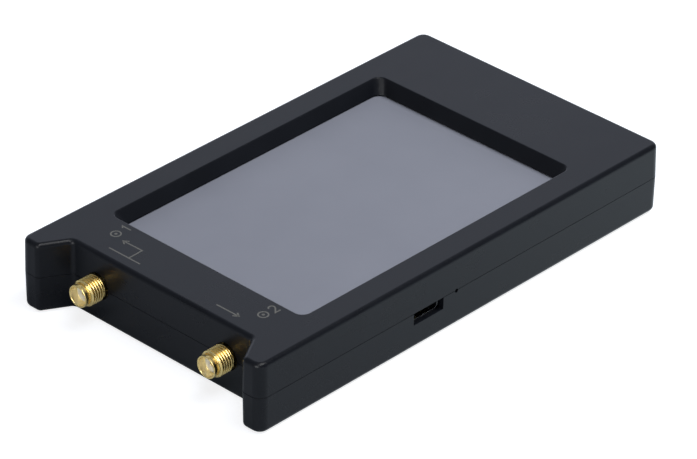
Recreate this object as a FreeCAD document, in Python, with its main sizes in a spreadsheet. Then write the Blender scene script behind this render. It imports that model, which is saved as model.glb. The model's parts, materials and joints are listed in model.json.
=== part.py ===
import FreeCAD, Part

# Handheld antenna analyzer in a two-piece moulded case. Millimetres.
# Frame: origin at the bottom centre of the case, +Z up through the screen, +X away from the two
# signal jacks, -Y the long side with the charging port, +Y the long side with the two controls.
# The case is sized from what it holds: lengths and heights are chains of the pieces inside it.

import math
import os
import re

import Sketcher

Vector = FreeCAD.Vector

# Driving dimensions. Each one is a cell of the sheet and is written once.
SIZES = {
    # case
    "wall": 2.0,
    "floor_thickness": 2.0,
    "roof_thickness": 2.0,
    "draft_angle": 0.75,
    "corner_radius": 2.4,
    "top_round": 1.1,
    "bottom_round": 1.2,
    "seam_gap": 0.12,
    "lip_height": 0.8,
    "lip_thickness": 0.95,
    "lip_gap": 0.1,
    # jack bay between the two horns
    "bay_depth": 7.0,
    "horn_width": 5.4,
    "horn_taper": 4.1,
    "horn_round": 1.4,
    "bay_round": 1.5,
    # room around the display, inside the walls
    "near_room": 9.5,
    "far_room": 14.9,
    "side_room": 4.55,
    # screen window: how far its foot stands in from the display's edges
    "view_near_margin": 3.55,
    "view_far_margin": 2.05,
    "view_side_margin": 2.45,
    "window_depth": 3.4,
    "window_flare": 1.65,
    "window_radius": 2.6,
    "window_round": 0.35,
    "rim_width": 2.4,
    # display stack, from the board up
    "foam_thickness": 1.2,
    "foam_width": 8.0,
    "tray_thickness": 1.3,
    "tray_skin": 0.3,
    "cell_thickness": 1.3,
    "touch_thickness": 1.2,
    "gasket_thickness": 0.4,
    "gasket_width": 1.8,
    "gasket_setback": 0.3,
    "display_length": 94.6,
    "display_width": 60.9,
    "ledge_length": 5.6,
    "display_gap": 0.3,
    "driver_width": 22.0,
    "driver_depth": 1.6,
    "driver_height": 0.4,
    "flex_width": 20.0,
    "flex_thickness": 0.15,
    "flex_reach": 5.2,
    "flex_connector_depth": 3.2,
    "flex_connector_height": 1.5,
    # main board
    "board_thickness": 1.2,
    "board_gap": 0.4,
    "part_room": 1.4,
    "part_height": 0.9,
    "processor_size": 7.0,
    "chip_size": 4.0,
    "chip_pitch": 12.0,
    "small_part_length": 1.0,
    "small_part_width": 0.5,
    "small_part_pitch": 4.0,
    "shield_length": 22.0,
    "shield_width": 50.0,
    "shield_height": 2.2,
    "shield_sheet": 0.2,
    "shield_distance": 1.6,
    # signal jacks
    "port_spacing": 39.7,
    "port_reach": 6.0,
    "thread_radius": 3.175,
    "thread_pitch": 0.706,
    "thread_depth": 0.42,
    "thread_count": 6.0,
    "crest_width": 0.12,
    "nose_length": 0.85,
    "nose_radius": 2.7,
    "undercut_radius": 2.45,
    "undercut_length": 0.55,
    "relief_radius": 2.75,
    "bore_radius": 2.3,
    "bore_depth": 1.9,
    "dielectric_radius": 2.065,
    "contact_radius": 0.635,
    "contact_hole_radius": 0.46,
    "contact_hole_depth": 3.2,
    "contact_slot": 0.18,
    "pin_radius": 0.4,
    "pin_length": 2.4,
    "flange_size": 6.35,
    "flange_thickness": 1.6,
    "leg_size": 1.1,
    "leg_length": 4.7,
    "port_gap": 0.15,
    # charging port
    "usb_offset": 12.62,
    "usb_width": 8.94,
    "usb_height": 3.16,
    "usb_depth": 7.3,
    "usb_sheet": 0.3,
    "usb_setback": 1.35,
    "usb_sink": 0.05,
    "usb_tab": 0.9,
    "slot_gap": 0.27,
    "tongue_width": 6.7,
    "tongue_thickness": 0.7,
    "tongue_setback": 0.7,
    # status light
    "light_offset": 3.7,
    "light_width": 1.6,
    "light_depth": 0.8,
    "light_height": 0.6,
    "pinhole_radius": 0.5,
    "pinhole_lift": 0.1,
    # battery
    "battery_length": 60.0,
    "battery_width": 50.0,
    "battery_thickness": 4.0,
    "battery_round": 1.2,
    "battery_tape_thickness": 0.2,
    "battery_distance": 46.0,
    "battery_board_length": 3.5,
    "battery_board_height": 3.6,
    "fence_height": 1.5,
    "fence_thickness": 1.0,
    "fence_gap": 0.3,
    "lead_radius": 0.5,
    "lead_pitch": 1.5,
    "lead_length": 3.0,
    "socket_width": 5.0,
    "socket_length": 4.0,
    "socket_height": 3.4,
    "lead_inset": 7.5,
    # screws, inserts and their towers
    "tower_inset": 4.5,
    "tower_side_inset": 3.5,
    "tower_radius": 3.0,
    "screw_radius": 1.2,
    "screw_length": 9.6,
    "screw_head_radius": 2.2,
    "screw_head_height": 1.4,
    "screw_seat_depth": 2.4,
    "drive_radius": 0.85,
    "drive_depth": 0.8,
    "insert_radius": 1.8,
    "insert_length": 4.0,
    "insert_gap": 0.05,
    "screw_gap": 0.2,
    # controls in the +Y side
    "switch_height": 3.0,
    "knob_height": 2.2,
    "control_gap": 0.3,
    "bearing_gap": 0.15,
    "power_offset": 34.0,
    "power_body_length": 9.0,
    "power_body_depth": 3.8,
    "power_travel": 2.0,
    "power_stem_length": 2.0,
    "power_stem_height": 1.3,
    "power_stem_reach": 1.6,
    "power_knob_length": 3.4,
    "power_knob_depth": 3.2,
    "power_groove": 0.25,
    "jog_offset": 12.0,
    "jog_body_length": 8.0,
    "jog_body_depth": 5.2,
    "jog_press_travel": 0.4,
    "jog_tilt_angle": 10.0,
    "carrier_length": 3.0,
    "carrier_depth": 3.0,
    "carrier_web": 0.4,
    "carrier_plate": 0.4,
    "hinge_radius": 0.4,
    "hinge_gap": 0.05,
    "hinge_setback": 1.8,
    "lever_stem_width": 1.5,
    "lever_paddle_width": 2.6,
    "lever_paddle_start": 1.0,
    "lever_protrusion": 1.8,
}

# Places and sizes that follow from the driving dimensions, as formulas for setExpression.
DERIVED = {
    # heights, from the table up
    "board_under": "floor_thickness + battery_tape_thickness + battery_thickness + part_room",
    "board_top": "board_under + board_thickness",
    "port_height": "board_top + pin_radius",
    "tray_under": "board_top + foam_thickness",
    "cell_under": "tray_under + tray_thickness",
    "touch_under": "cell_under + cell_thickness",
    "touch_top": "touch_under + touch_thickness",
    "rim_under": "touch_top + gasket_thickness",
    "body_height": "rim_under + window_depth",
    "roof_under": "body_height - roof_thickness",
    "parting": "port_height - seam_drop",
    "seam_drop": "pin_radius / 2",
    # lengths along X
    "body_length": "bay_depth + 2 * wall + near_room + display_length + far_room",
    "far_end": "body_length / 2",
    "far_inside": "far_end - wall",
    "horn_tip": "-body_length / 2",
    "bay_face": "horn_tip + bay_depth",
    "bay_inside": "bay_face + wall",
    "display_near": "bay_inside + near_room",
    "display_far": "display_near + display_length",
    "glass_length": "display_length - ledge_length",
    "view_near": "display_near + view_near_margin",
    "view_length": "glass_length - view_near_margin - view_far_margin",
    "view_middle": "view_near + view_length / 2",
    "board_near": "bay_inside + flange_thickness",
    "board_far": "far_inside - board_gap",
    # widths along Y
    "body_width": "2 * (wall + side_room) + display_width",
    "side_face": "body_width / 2",
    "side_inside": "side_face - wall",
    "view_width": "display_width - 2 * view_side_margin",
    "board_edge": "side_inside - board_gap",
    "tower_y": "side_inside - tower_side_inset",
    "tower_near": "bay_inside + tower_inset",
    "tower_far": "far_inside - tower_inset",
    # controls
    "control_height": "board_under - switch_height / 2",
    "hinge_y": "board_edge - hinge_setback",
    "lever_hub_radius": "carrier_depth / 2 - carrier_web - bearing_gap",
    # battery
    "battery_near": "bay_inside + battery_distance",
    "battery_under": "floor_thickness + battery_tape_thickness",
    "battery_board_near": "battery_near - battery_board_length",
    "socket_under": "board_under - socket_height",
    "lead_height": "(socket_under + battery_under + battery_board_height) / 2",
    "socket_near": "battery_board_near - lead_length - socket_length",
    "battery_board_side": "battery_width / 2 - battery_board_length",
    "socket_offset": "battery_board_side - lead_inset",
    # jack bore and the bay's slanted sides
    "thread_start": "nose_length + undercut_length",
    "bay_mouth_width": "body_width - 2 * horn_width",
    "bay_base_width": "bay_mouth_width - 2 * horn_taper",
    "bay_slope": "horn_taper / bay_depth",
    "bay_shift": "sqrt(1 + bay_slope * bay_slope) - bay_slope",
}

doc = FreeCAD.newDocument("AntennaAnalyzer")
sheet = doc.addObject("Spreadsheet::Sheet", "Sizes")
for row, (alias, value) in enumerate(SIZES.items(), start=1):
    sheet.set(f"A{row}", alias.replace("_", " "))
    sheet.set(f"B{row}", str(value))
    sheet.setAlias(f"B{row}", alias)
doc.recompute()

nodes = {}


def formula(text):
    """Spell out a formula in sheet aliases: a derived name becomes its own formula in brackets."""

    def spell(match):
        word = match[0]
        if word in DERIVED:
            return f"({formula(DERIVED[word])})"
        return f"Sizes.{word}" if word in SIZES else word

    return re.sub(r"[a-z][a-z_]+", spell, str(text))


def value(text):
    """The number a formula gives with the sheet's present values."""
    return float(sheet.evalExpression(formula(text)))


def bind(item, path, text):
    """Bind a property to a formula."""
    item.setExpression(path, formula(text))


def place(item, x="0", y="0", z="0"):
    """Bind an object's position to formulas."""
    for axis, text in zip("xyz", (x, y, z)):
        bind(item, f"Placement.Base.{axis}", text)


def keep(label, item):
    """Label a finished sub-part, which names its file."""
    item.Label = label
    nodes[label] = item
    return item


# Sketches and features of a PartDesign body


def new_body(name):
    return doc.addObject("PartDesign::Body", name + "_body")


def new_sketch(body, name, role="XY_Plane", level="0"):
    """A sketch on one of the body's own origin planes, lifted along the plane's normal."""
    plane = next(item for item in body.Origin.OriginFeatures if item.Role == role)
    sketch = body.newObject("Sketcher::SketchObject", name)
    sketch.AttachmentSupport = [(plane, "")]
    sketch.MapMode = "FlatFace"
    bind(sketch, "AttachmentOffset.Base.z", level)
    return sketch


def fix_point(sketch, index, end, x, y):
    """Hold one end of a sketch line at a place given by formulas."""
    for kind, text in (("DistanceX", x), ("DistanceY", y)):
        number = sketch.addConstraint(Sketcher.Constraint(kind, -1, 1, index, end, value(text)))
        bind(sketch, f"Constraints[{number}]", text)


def polygon(sketch, corners):
    """Closed run of straight lines through corners given as (x, y) formulas."""
    places = [Vector(value(x), value(y), 0) for x, y in corners]
    first = sketch.GeometryCount
    count = len(corners)
    for index in range(count):
        sketch.addGeometry(Part.LineSegment(places[index], places[(index + 1) % count]), False)
    for index in range(count):
        follower = first + (index + 1) % count
        sketch.addConstraint(Sketcher.Constraint("Coincident", first + index, 2, follower, 1))
    for index, (x, y) in enumerate(corners):
        fix_point(sketch, first + index, 1, x, y)
    return sketch


def rectangle(sketch, x_low, y_low, x_high, y_high):
    corners = [(x_low, y_low), (x_high, y_low), (x_high, y_high), (x_low, y_high)]
    return polygon(sketch, corners)


def centred(sketch, x, y, length, width):
    """Rectangle about a centre, all four given as formulas."""
    return rectangle(sketch, f"{x} - ({length}) / 2", f"{y} - ({width}) / 2",
                     f"{x} + ({length}) / 2", f"{y} + ({width}) / 2")


def circle(sketch, x, y, radius):
    middle = Vector(value(x), value(y), 0)
    index = sketch.addGeometry(Part.Circle(middle, Vector(0, 0, 1), value(radius)), False)
    fix_point(sketch, index, 3, x, y)
    number = sketch.addConstraint(Sketcher.Constraint("Radius", index, value(radius)))
    bind(sketch, f"Constraints[{number}]", radius)
    return sketch


def feature(body, kind, name, sketch, length, back=False, taper=None):
    """Pad or Pocket of a sketch; back turns its direction round."""
    item = body.newObject(f"PartDesign::{kind}", name)
    item.Profile = (sketch, [""])
    bind(item, "Length", length)
    item.Reversed = back
    if taper:
        bind(item, "TaperAngle", taper)
    doc.recompute()
    return item


def revolve(body, name, sketch, axis="H_Axis"):
    item = body.newObject("PartDesign::Revolution", name)
    item.Profile = (sketch, [""])
    item.ReferenceAxis = (sketch, [axis])
    item.Angle = 360
    doc.recompute()
    return item


def fillet(body, name, test, radius):
    """Round the edges of the body's last feature that pass a test."""
    last = body.Tip
    edges = [f"Edge{n}" for n, edge in enumerate(last.Shape.Edges, start=1) if test(edge)]
    item = body.newObject("PartDesign::Fillet", name)
    item.Base = (last, edges)
    bind(item, "Radius", radius)
    doc.recompute()
    return item


def upright(edge, lean=0.2):
    """Whether an edge runs mostly along Z."""
    ends = [vertex.Point for vertex in edge.Vertexes]
    if len(ends) < 2:
        return False
    run = ends[1] - ends[0]
    return abs(run.z) > 0.01 and math.hypot(run.x, run.y) < lean * abs(run.z)


def at_level(edge, level):
    """Whether an edge lies flat at a height."""
    box = edge.BoundBox
    return abs(box.ZMin - level) < 0.001 and abs(box.ZMax - level) < 0.001


# Plain blocks and groups of them


def block(label, x, y, z, length, width, height):
    """Box with one low corner at x, y, z."""
    item = doc.addObject("Part::Box", label)
    bind(item, "Length", length)
    bind(item, "Width", width)
    bind(item, "Height", height)
    place(item, x, y, z)
    return item


def cylinder(label, x, y, z, radius, height, lie=None):
    """Cylinder along Z, or along X or Y where lie says so."""
    item = doc.addObject("Part::Cylinder", label)
    bind(item, "Radius", radius)
    bind(item, "Height", height)
    if lie == "X":
        item.Placement.Rotation = FreeCAD.Rotation(Vector(0, 1, 0), 90)
    if lie == "Y":
        item.Placement.Rotation = FreeCAD.Rotation(Vector(1, 0, 0), -90)
    place(item, x, y, z)
    return item


def cut(name, base, tools):
    """Take one or more tools out of a base."""
    tool = tools[0]
    if len(tools) > 1:
        tool = doc.addObject("Part::MultiFuse", name + "_tools")
        tool.Shapes = tools
    item = doc.addObject("Part::Cut", name)
    item.Base = base
    item.Tool = tool
    return item


def fuse(name, pieces):
    item = doc.addObject("Part::MultiFuse", name)
    item.Shapes = pieces
    return item


def group(name, pieces):
    """Separate like solids that share one file."""
    item = doc.addObject("Part::Compound", name)
    item.Links = pieces
    return item


# Case


def case_corners(inset):
    """Corners of the case's outline, with the bay between its horns, moved in by an inset."""
    near, far = f"horn_tip + {inset}", f"far_end - {inset}"
    base = f"bay_face + {inset}"
    side = f"(side_face - {inset})"
    mouth = f"(bay_mouth_width / 2 + {inset} * bay_shift)"
    root = f"(bay_base_width / 2 + {inset} * bay_shift)"
    return [(far, f"-{side}"), (far, side), (near, side), (near, mouth), (base, root),
            (base, f"-{root}"), (near, f"-{mouth}"), (near, f"-{side}")]


def tower_places():
    return [(x, f"{sign}tower_y") for x in ("tower_near", "tower_far") for sign in ("-", "")]


def round_case(body, rim_level, rim_radius):
    """Round the case's upright corners, then the rim of its top or bottom face."""
    far, tip = value("far_end"), value("horn_tip")

    def corner(edge, x, reach):
        return upright(edge) and abs(edge.CenterOfMass.x - x) < reach

    def case_corner(edge):
        side = abs(edge.CenterOfMass.y) > value("side_face") - 0.5
        return side and (corner(edge, far, 0.5) or corner(edge, tip, 0.5))

    def horn_corner(edge):
        return abs(edge.CenterOfMass.y) < value("side_face") - 0.5 and corner(edge, tip, 0.5)

    fillet(body, "CaseCorners", case_corner, "corner_radius")
    fillet(body, "HornCorners", horn_corner, "horn_round")
    fillet(body, "BayCorners", lambda edge: corner(edge, value("bay_face"), 0.5), "bay_round")
    fillet(body, "Rim", lambda edge: at_level(edge, value(rim_level)), rim_radius)


def jack_holes(body, level):
    """Two holes through the bay's end wall for the jack barrels."""
    sketch = new_sketch(body, "JackHoles", "YZ_Plane", level)
    for sign in ("-", ""):
        circle(sketch, f"{sign}port_spacing / 2", "port_height", "thread_radius + port_gap")
    feature(body, "Pocket", "JackPocket", sketch, "wall + 2 * port_gap", back=True)


def pinhole(body):
    """Light hole through the port side's wall."""
    sketch = new_sketch(body, "Pinhole", "XZ_Plane", "side_inside - port_gap")
    circle(sketch, "-light_offset", "board_top + pinhole_lift", "pinhole_radius")
    feature(body, "Pocket", "PinholePocket", sketch, "wall + 2 * port_gap", back=True)


def usb_slot(body, low, high):
    """Slot in the port side's wall, as wide as the receptacle and its clearance."""
    sketch = new_sketch(body, "UsbSlot", "XZ_Plane", "side_inside - port_gap")
    half = "(usb_width / 2 + slot_gap)"
    rectangle(sketch, f"-usb_offset - {half}", low, f"-usb_offset + {half}", high)
    feature(body, "Pocket", "UsbPocket", sketch, "wall + 2 * port_gap", back=True)


def make_front_shell():
    body = new_body("front_shell")
    bottom = "parting + seam_gap"
    outline = polygon(new_sketch(body, "Outline", level=bottom), case_corners("0"))
    feature(body, "Pad", "Block", outline, f"body_height - ({bottom})", taper="-draft_angle")
    round_case(body, "body_height", "min(top_round; horn_round - 0.1)")
    cavity = polygon(new_sketch(body, "Cavity", level=bottom), case_corners("wall"))
    feature(body, "Pocket", "CavityPocket", cavity, f"roof_under - ({bottom})", back=True)
    rebate = polygon(new_sketch(body, "Rebate", level=bottom),
                     case_corners("(wall - lip_thickness - lip_gap)"))
    feature(body, "Pocket", "RebatePocket", rebate, "lip_height - seam_gap", back=True)
    rim = new_sketch(body, "WindowRim", level="rim_under")
    centred(rim, "view_middle", "0", "view_length + 2 * rim_width", "view_width + 2 * rim_width")
    feature(body, "Pad", "WindowRimPad", rim, "roof_under - rim_under")
    for number, (x, y) in enumerate(tower_places()):
        tower = circle(new_sketch(body, f"Tower{number}", level="board_top"), x, y, "tower_radius")
        feature(body, "Pad", f"TowerPad{number}", tower, "roof_under - board_top")
    view = new_sketch(body, "Window", level="body_height")
    flare = "2 * window_flare"
    centred(view, "view_middle", "0", f"view_length + {flare}", f"view_width + {flare}")
    slope = "-atan(window_flare / window_depth)"
    feature(body, "Pocket", "WindowPocket", view, "window_depth", taper=slope)
    reach = value("view_length / 2 + window_flare / 2")

    def window_corner(edge):
        beside = abs(abs(edge.CenterOfMass.x - value("view_middle")) - reach) < 0.5
        across = abs(abs(edge.CenterOfMass.y) - value("view_width / 2 + window_flare / 2")) < 0.5
        return beside and across and upright(edge, lean=2.0)

    def window_edge(edge):
        middle = edge.CenterOfMass
        inside = abs(middle.x - value("view_middle")) < reach + 2 and abs(middle.y) < value("tower_y")
        return at_level(edge, value("body_height")) and inside

    fillet(body, "WindowCorners", window_corner, "window_radius")
    fillet(body, "WindowEdge", window_edge, "window_round")
    for number, (x, y) in enumerate(tower_places()):
        hole = new_sketch(body, f"InsertHole{number}", level="board_top")
        circle(hole, x, y, "insert_radius + insert_gap")
        feature(body, "Pocket", f"InsertPocket{number}", hole, "insert_length + 0.5", back=True)
    jack_holes(body, "bay_face - port_gap")
    pinhole(body)
    keep("front_shell", body)


def control_hole(body, name, x, length):
    """Closed hole through the control side's wall for one control."""
    sketch = new_sketch(body, name, "XZ_Plane", "-(side_inside - lip_gap)")
    centred(sketch, x, "control_height", length, "knob_height + 2 * control_gap")
    feature(body, "Pocket", name + "Pocket", sketch, "wall + 2 * lip_gap")


def make_back_shell():
    body = new_body("back_shell")
    outline = polygon(new_sketch(body, "Outline", level="parting"), case_corners("0"))
    feature(body, "Pad", "Block", outline, "parting", back=True, taper="-draft_angle")
    round_case(body, "0", "min(bottom_round; horn_round - 0.1)")
    lip = polygon(new_sketch(body, "Lip", level="parting"), case_corners("(wall - lip_thickness)"))
    feature(body, "Pad", "LipPad", lip, "lip_height")
    cavity = polygon(new_sketch(body, "Cavity", level="floor_thickness"), case_corners("wall"))
    depth = "parting + lip_height - floor_thickness"
    feature(body, "Pocket", "CavityPocket", cavity, depth, back=True)
    for number, (x, y) in enumerate(tower_places()):
        tower = new_sketch(body, f"Tower{number}", level="floor_thickness / 2")
        circle(tower, x, y, "tower_radius")
        feature(body, "Pad", f"TowerPad{number}", tower, "board_under - floor_thickness / 2")
        hole = new_sketch(body, f"ScrewHole{number}", level="0")
        circle(hole, x, y, "screw_radius + screw_gap")
        feature(body, "Pocket", f"ScrewPocket{number}", hole, "board_under", back=True)
        seat = new_sketch(body, f"ScrewSeat{number}", level="0")
        circle(seat, x, y, "screw_head_radius + screw_gap")
        feature(body, "Pocket", f"SeatPocket{number}", seat, "screw_seat_depth", back=True)
    fence = new_sketch(body, "BatteryFence", level="floor_thickness")
    pack_length = "(battery_length + battery_board_length + 2 * fence_gap)"
    middle = "(battery_board_near + (battery_length + battery_board_length) / 2)"
    pack_width = "(battery_width + 2 * fence_gap)"
    centred(fence, middle, "0", f"{pack_length} + 2 * fence_thickness",
            f"{pack_width} + 2 * fence_thickness")
    centred(fence, middle, "0", pack_length, pack_width)
    feature(body, "Pad", "BatteryFencePad", fence, "fence_height")
    jack_holes(body, "bay_face - port_gap")
    usb_slot(body, "board_under + usb_sink - usb_height / 2 - 0.02", "parting + lip_height")
    pinhole(body)
    control_hole(body, "PowerHole", "power_offset",
                 "power_knob_length + power_travel + 2 * control_gap")
    swing = "(side_face - hinge_y) * tan(jog_tilt_angle)"
    control_hole(body, "JogHole", "jog_offset",
                 f"2 * ({swing} + lever_paddle_width / 2 / cos(jog_tilt_angle) + control_gap)")
    keep("back_shell", body)


# Screws and inserts


def make_screws():
    """Pan-head screws from below, and the brass inserts that they run into."""
    screws, inserts = [], []
    for number, (x, y) in enumerate(tower_places()):
        body = new_body(f"screw{number}")
        sketch = new_sketch(body, "Profile", "XZ_Plane")
        polygon(sketch, [("0", "-screw_head_height"), ("screw_head_radius", "-screw_head_height"),
                         ("screw_head_radius", "0"), ("screw_radius", "0"),
                         ("screw_radius", "screw_length - screw_radius / 2"),
                         ("screw_radius / 2", "screw_length"), ("0", "screw_length")])
        revolve(body, "Turned", sketch, "V_Axis")
        drive = new_sketch(body, "Drive", level="-screw_head_height")
        circle(drive, "0", "0", "drive_radius")
        feature(body, "Pocket", "DrivePocket", drive, "drive_depth", back=True)
        place(body, x, y, "screw_seat_depth")
        screws.append(body)
        sleeve = cylinder(f"sleeve{number}", x, y, "board_top", "insert_radius", "insert_length")
        bore = cylinder(f"bore{number}", x, y, "board_top - 1", "screw_radius + insert_gap",
                        "insert_length + 2")
        inserts.append(cut(f"insert{number}", sleeve, [bore]))
    keep("case_screws", group("screw_group", screws))
    keep("screw_inserts", group("insert_group", inserts))


# Display


def frame_plate(name, level, thickness, length, width, opening_length, opening_width):
    """Flat frame about the middle of the screen."""
    body = new_body(name)
    sketch = new_sketch(body, "Frame", level=level)
    centred(sketch, "view_middle", "0", length, width)
    centred(sketch, "view_middle", "0", opening_length, opening_width)
    feature(body, "Pad", "FramePad", sketch, thickness)
    return body


def make_display():
    half = "display_width / 2"
    keep("touch_panel", block("touch", "display_near", f"-{half} + display_gap", "touch_under",
                              "glass_length", "display_width - 2 * display_gap", "touch_thickness"))
    setback = "2 * gasket_setback"
    keep("display_gasket", frame_plate(
        "gasket", "touch_top", "gasket_thickness",
        f"view_length + {setback} + 2 * gasket_width", f"view_width + {setback} + 2 * gasket_width",
        f"view_length + {setback}", f"view_width + {setback}"))
    lower = block("cell_lower", "display_near", f"-{half}", "cell_under",
                  "display_length", "display_width", "cell_thickness / 2")
    upper = block("cell_upper", "display_near", f"-{half}", "cell_under + cell_thickness / 2",
                  "glass_length", "display_width", "cell_thickness / 2")
    keep("lcd_cell", fuse("cell", [lower, upper]))
    ledge = "cell_under + cell_thickness / 2"
    driver_near = "display_far - ledge_length + driver_depth / 2"
    keep("driver_chip", block("driver", driver_near, "-driver_width / 2", ledge,
                              "driver_depth", "driver_width", "driver_height"))
    tray = block("tray_block", "display_near", f"-{half}", "tray_under",
                 "display_length", "display_width", "tray_thickness")
    inside = block("tray_inside", "display_near + tray_skin", f"-{half} + tray_skin",
                   "tray_under + tray_skin", "display_length - 2 * tray_skin",
                   "display_width - 2 * tray_skin", "tray_thickness")
    keep("backlight_tray", cut("tray", tray, [inside]))
    margin = "(tray_skin + bearing_gap)"
    keep("light_guide", block("guide", f"display_near + {margin}", f"-{half} + {margin}",
                              "tray_under + tray_skin", f"display_length - 2 * {margin}",
                              f"display_width - 2 * {margin}", "tray_thickness - tray_skin"))
    strips = [block(f"foam{sign}", "display_near + display_gap",
                    f"{sign} * (display_width / 2 - foam_width) - foam_width / 2", "board_top",
                    "display_length - 2 * display_gap", "foam_width", "foam_thickness")
              for sign in (-1, 1)]
    keep("display_foam", group("foam", strips))
    make_flex(ledge)


def make_flex(ledge):
    """Ribbon from the cell's ledge down to its connector on the board."""
    body = new_body("flex")
    sketch = new_sketch(body, "Side", "XZ_Plane")
    start = "(display_far - ledge_length / 3)"
    bend = "(display_far + display_gap)"
    end = "(display_far + flex_reach)"
    low = "(board_top + flex_connector_height / 2)"
    mouth = f"({end} + flex_connector_depth / 2)"
    top, skin = f"({ledge})", "flex_thickness"
    polygon(sketch, [(start, top), (bend, top), (end, low), (mouth, low),
                     (mouth, f"{low} + {skin}"), (f"{end} + {skin} / 2", f"{low} + {skin}"),
                     (f"{bend} + {skin} / 2", f"{top} + {skin}"), (start, f"{top} + {skin}")])
    ribbon = feature(body, "Pad", "Ribbon", sketch, "flex_width")
    ribbon.Midplane = True
    keep("display_flex", body)
    side = "(flex_width + 3) / 2"
    case = block("flex_case", end, f"-{side}", "board_top", "flex_connector_depth",
                 f"2 * ({side})", "flex_connector_height")
    gap = "bearing_gap"
    slot = block("flex_slot", f"{end} - 1", f"-flex_width / 2 - {gap}", f"{low} - {gap} / 2",
                 f"1 + flex_connector_depth / 2 + {gap}", f"flex_width + 2 * {gap}",
                 f"{skin} + {gap}")
    keep("flex_connector", cut("flex_socket", case, [slot]))


# Main board and what is soldered to it


def make_board():
    plate = block("board_plate", "board_near", "-board_edge", "board_under",
                  "board_far - board_near", "2 * board_edge", "board_thickness")
    holes = [cylinder(f"board_hole{number}", x, y, "board_under - 1", "screw_radius + 2 * screw_gap",
                      "board_thickness + 2") for number, (x, y) in enumerate(tower_places())]
    notch = block("usb_notch", "-usb_offset - usb_width / 2 - bearing_gap", "-board_edge - 1",
                  "board_under - 1", "usb_width + 2 * bearing_gap",
                  "1 + board_edge - side_face + usb_setback + usb_depth + bearing_gap",
                  "board_thickness + 2")
    keep("main_board", cut("board", plate, [*holes, notch]))
    keep("processor", block("processor_chip", "battery_near + chip_pitch", "-processor_size / 2",
                            "board_under - part_height", "processor_size", "processor_size",
                            "part_height"))
    shield_near = "(board_near + leg_length + shield_distance)"
    chips = [block(f"chip{row}{side}", f"{shield_near} + shield_length / 4 + {row} * shield_length / 3",
                   f"{side} * chip_pitch - chip_size / 2", "board_under - part_height",
                   "chip_size", "chip_size", "part_height")
             for row in (0, 1) for side in (-1, 1)]
    keep("rf_chips", group("chips", chips))
    parts = [block(f"small{side}{number}",
                   f"battery_near + chip_pitch / 2 + {number} * small_part_pitch",
                   f"{side} * (processor_size + small_part_width) - small_part_width / 2",
                   "board_under - small_part_width", "small_part_length", "small_part_width",
                   "small_part_width")
             for side in (-1, 1) for number in range(6)]
    keep("small_parts", group("small_part_group", parts))
    can_under = "board_under - shield_height"
    outer = block("fence_outer", shield_near, "-shield_width / 2", f"{can_under} + shield_sheet",
                  "shield_length", "shield_width", "shield_height - shield_sheet")
    sheet_gap = "shield_sheet"
    rooms = [block(f"fence_room{side}", f"{shield_near} + {sheet_gap}",
                   f"{side} * (shield_width / 2 + {sheet_gap} / 2) / 2 - "
                   f"(shield_width / 2 - 1.5 * {sheet_gap}) / 2",
                   f"{can_under} - 1", f"shield_length - 2 * {sheet_gap}",
                   f"shield_width / 2 - 1.5 * {sheet_gap}", "shield_height + 3")
             for side in (-1, 1)]
    keep("shield_frame", cut("shield_fence", outer, rooms))
    keep("shield_lid", block("shield_cover", shield_near, "-shield_width / 2", can_under,
                             "shield_length", "shield_width", "shield_sheet"))
    keep("status_led", block("led", "-light_offset - light_width / 2", "-board_edge", "board_top",
                             "light_width", "light_depth", "light_height"))


# Signal jacks


def jack_body(name):
    """Barrel turned about X from its nose at the origin, flange and four board legs behind it."""
    body = new_body(name)
    sketch = new_sketch(body, "Barrel", "XZ_Plane")
    barrel = "(port_reach + wall)"
    root = "(thread_radius - thread_depth)"
    profile = [("0", "bore_radius"), ("0", "nose_radius"), ("nose_length", "nose_radius"),
               ("nose_length", "undercut_radius"), ("thread_start", "undercut_radius"),
               ("thread_start", root)]
    slant = "((thread_pitch - crest_width) / 2)"
    for turn in range(int(value("thread_count"))):
        crest = f"(thread_start + {slant} + {turn} * thread_pitch)"
        profile += [(crest, "thread_radius"), (f"{crest} + crest_width", "thread_radius"),
                    (f"{crest} + crest_width + {slant}", root)]
    relief = f"(thread_start + {int(value('thread_count'))} * thread_pitch)"
    profile += [(relief, "relief_radius"), (barrel, "relief_radius"),
                (barrel, "dielectric_radius + hinge_gap"),
                ("bore_depth", "dielectric_radius + hinge_gap"), ("bore_depth", "bore_radius")]
    polygon(sketch, profile)
    revolve(body, "BarrelTurned", sketch)
    flange = new_sketch(body, "Flange", "YZ_Plane", barrel)
    centred(flange, "0", "0", "flange_size", "flange_size")
    feature(body, "Pad", "FlangePad", flange, "flange_thickness")
    bore = new_sketch(body, "FlangeBore", "YZ_Plane", "port_reach")
    circle(bore, "0", "0", "dielectric_radius + hinge_gap")
    feature(body, "Pocket", "FlangeBorePocket", bore, "wall + flange_thickness", back=True)
    legs = new_sketch(body, "Legs", "YZ_Plane", f"{barrel} + flange_thickness")
    outer = "(flange_size / 2)"
    for side in ("-1", "1"):
        middle = f"{side} * ({outer} - leg_size / 2)"
        centred(legs, middle, "leg_size / 2 - pin_radius", "leg_size", "leg_size")
        centred(legs, middle, "-pin_radius - board_thickness - leg_size / 2", "leg_size", "leg_size")
    feature(body, "Pad", "LegsPad", legs, "leg_length")
    return body


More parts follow.
